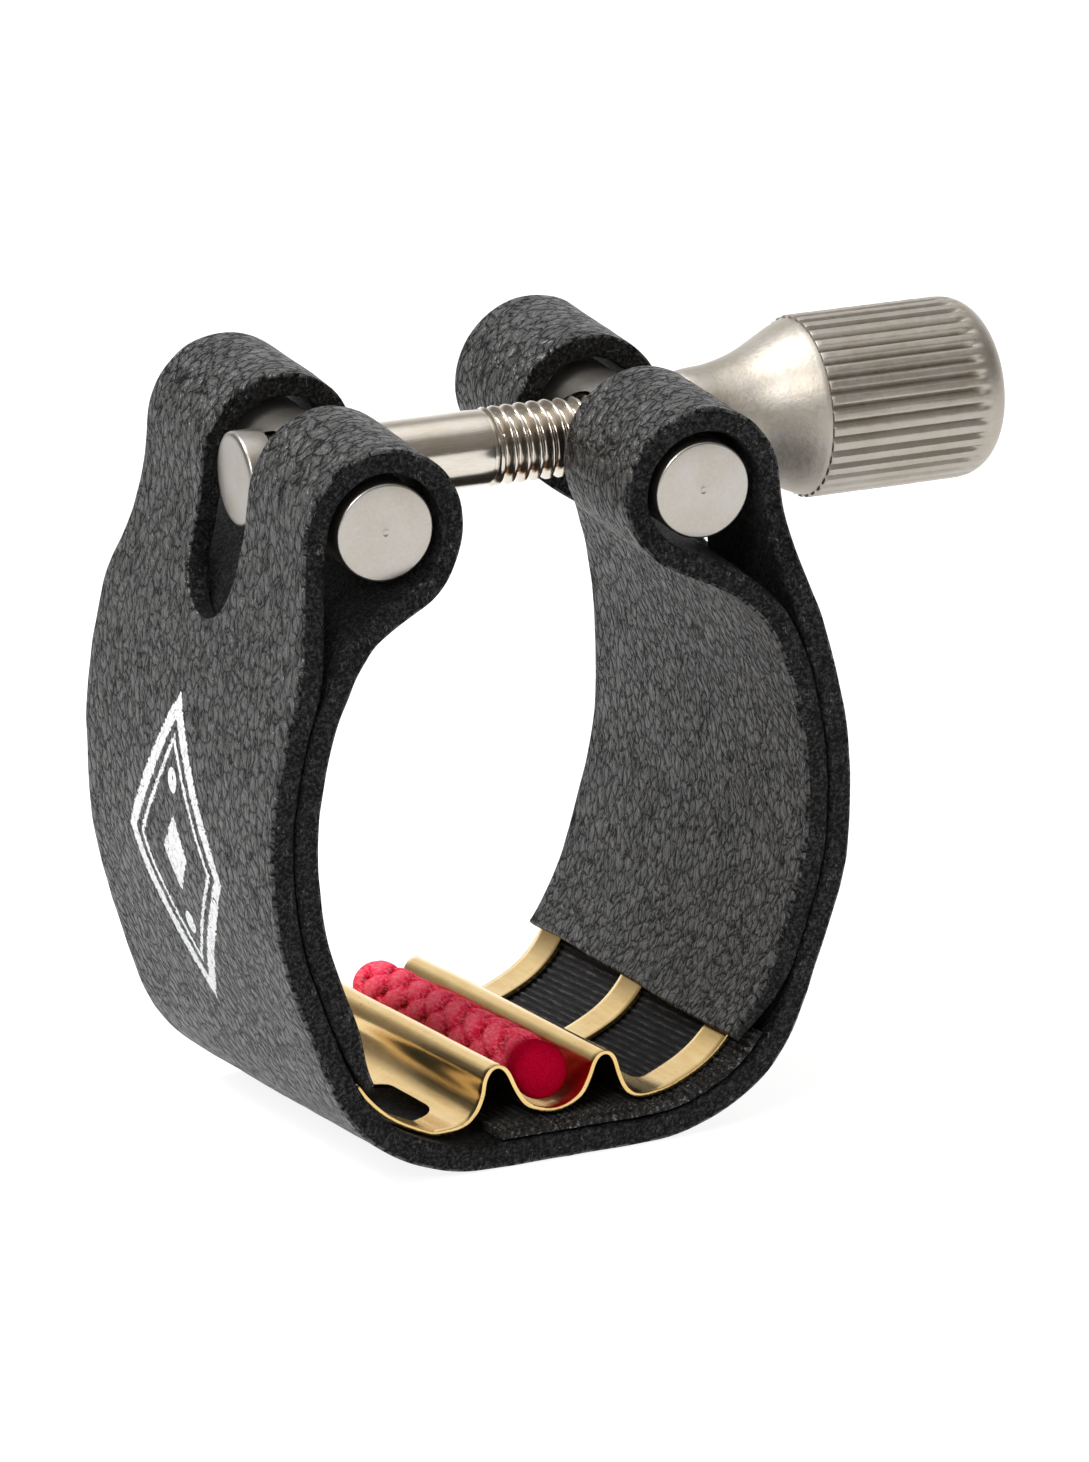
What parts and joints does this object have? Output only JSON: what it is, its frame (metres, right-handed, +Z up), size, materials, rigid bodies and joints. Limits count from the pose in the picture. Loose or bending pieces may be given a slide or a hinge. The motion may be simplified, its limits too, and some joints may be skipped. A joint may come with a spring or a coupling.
{
  "type": "saxophone ligature",
  "caption": "Leather strap that a thumb screw closes round a mouthpiece, with a brass reed plate and a cushion cord.",
  "frame": {"origin": "middle of the strap's flat underside", "axes": "+X along the screw from its end cap to its knob, +Y along the mouthpiece towards its wider end, +Z up from the underside to the screw"},
  "size_m": [0.0448, 0.0304, 0.0406],
  "materials": {
    "leather": "satin black, fine grain, matte cut edges",
    "webbing": "matte ribbed weave",
    "plate_brass": "bright rolled sheet",
    "cord": "plaited crimson cord with melted ends",
    "nickel": "warm satin nickel plate"
  },
  "bodies": {
    "base": {"strap_base": "leather", "webbing_pad": "webbing", "reed_plate": "plate_brass", "cushion_cord": "cord"},
    "left_arm": {"strap_left_arm": "leather"},
    "right_arm": {"strap_right_arm": "leather"},
    "left_pin": {"left_pin": "nickel"},
    "right_pin": {"right_pin": "nickel"},
    "screw": {"screw_rod": "nickel", "screw_end_cap": "nickel", "thumb_knob": "nickel"}
  },
  "joints": [
    {"name": "left_arm_flex", "type": "hinge", "parent": "base", "child": "left_arm", "pos_m": [-0.01189, -0.00031, 0.00548], "axis": [0, 0.9877, 0.1564], "range_deg": [-0.7, 4.1]},
    {"name": "left_pin_swivel", "type": "hinge", "parent": "left_arm", "child": "left_pin", "pos_m": [-0.00846, -0.00495, 0.03475], "axis": [0, 0.9877, 0.1564], "range_deg": [-4.1, 0.7]},
    {"name": "screw_turn", "type": "hinge", "parent": "left_pin", "child": "screw", "pos_m": [0, -0.00495, 0.03475], "axis": [1, 0, 0], "range_deg": [-360, 2160]},
    {"name": "right_arm_flex", "type": "hinge", "parent": "base", "child": "right_arm", "pos_m": [0.01189, -0.00031, 0.00548], "axis": [0, 0.9877, 0.1564], "range_deg": [-4.1, 0.7]},
    {"name": "right_pin_swivel", "type": "hinge", "parent": "right_arm", "child": "right_pin", "pos_m": [0.00846, -0.00495, 0.03475], "axis": [0, 0.9877, 0.1564], "range_deg": [-0.7, 4.1]}
  ],
  "couplings": [
    {"joint": "left_arm_flex", "follows": "screw_turn", "ratio": 0.0018796},
    {"joint": "left_pin_swivel", "follows": "screw_turn", "ratio": -0.0018796},
    {"joint": "right_arm_flex", "follows": "screw_turn", "ratio": -0.0018796},
    {"joint": "right_pin_swivel", "follows": "screw_turn", "ratio": 0.0018796}
  ]
}
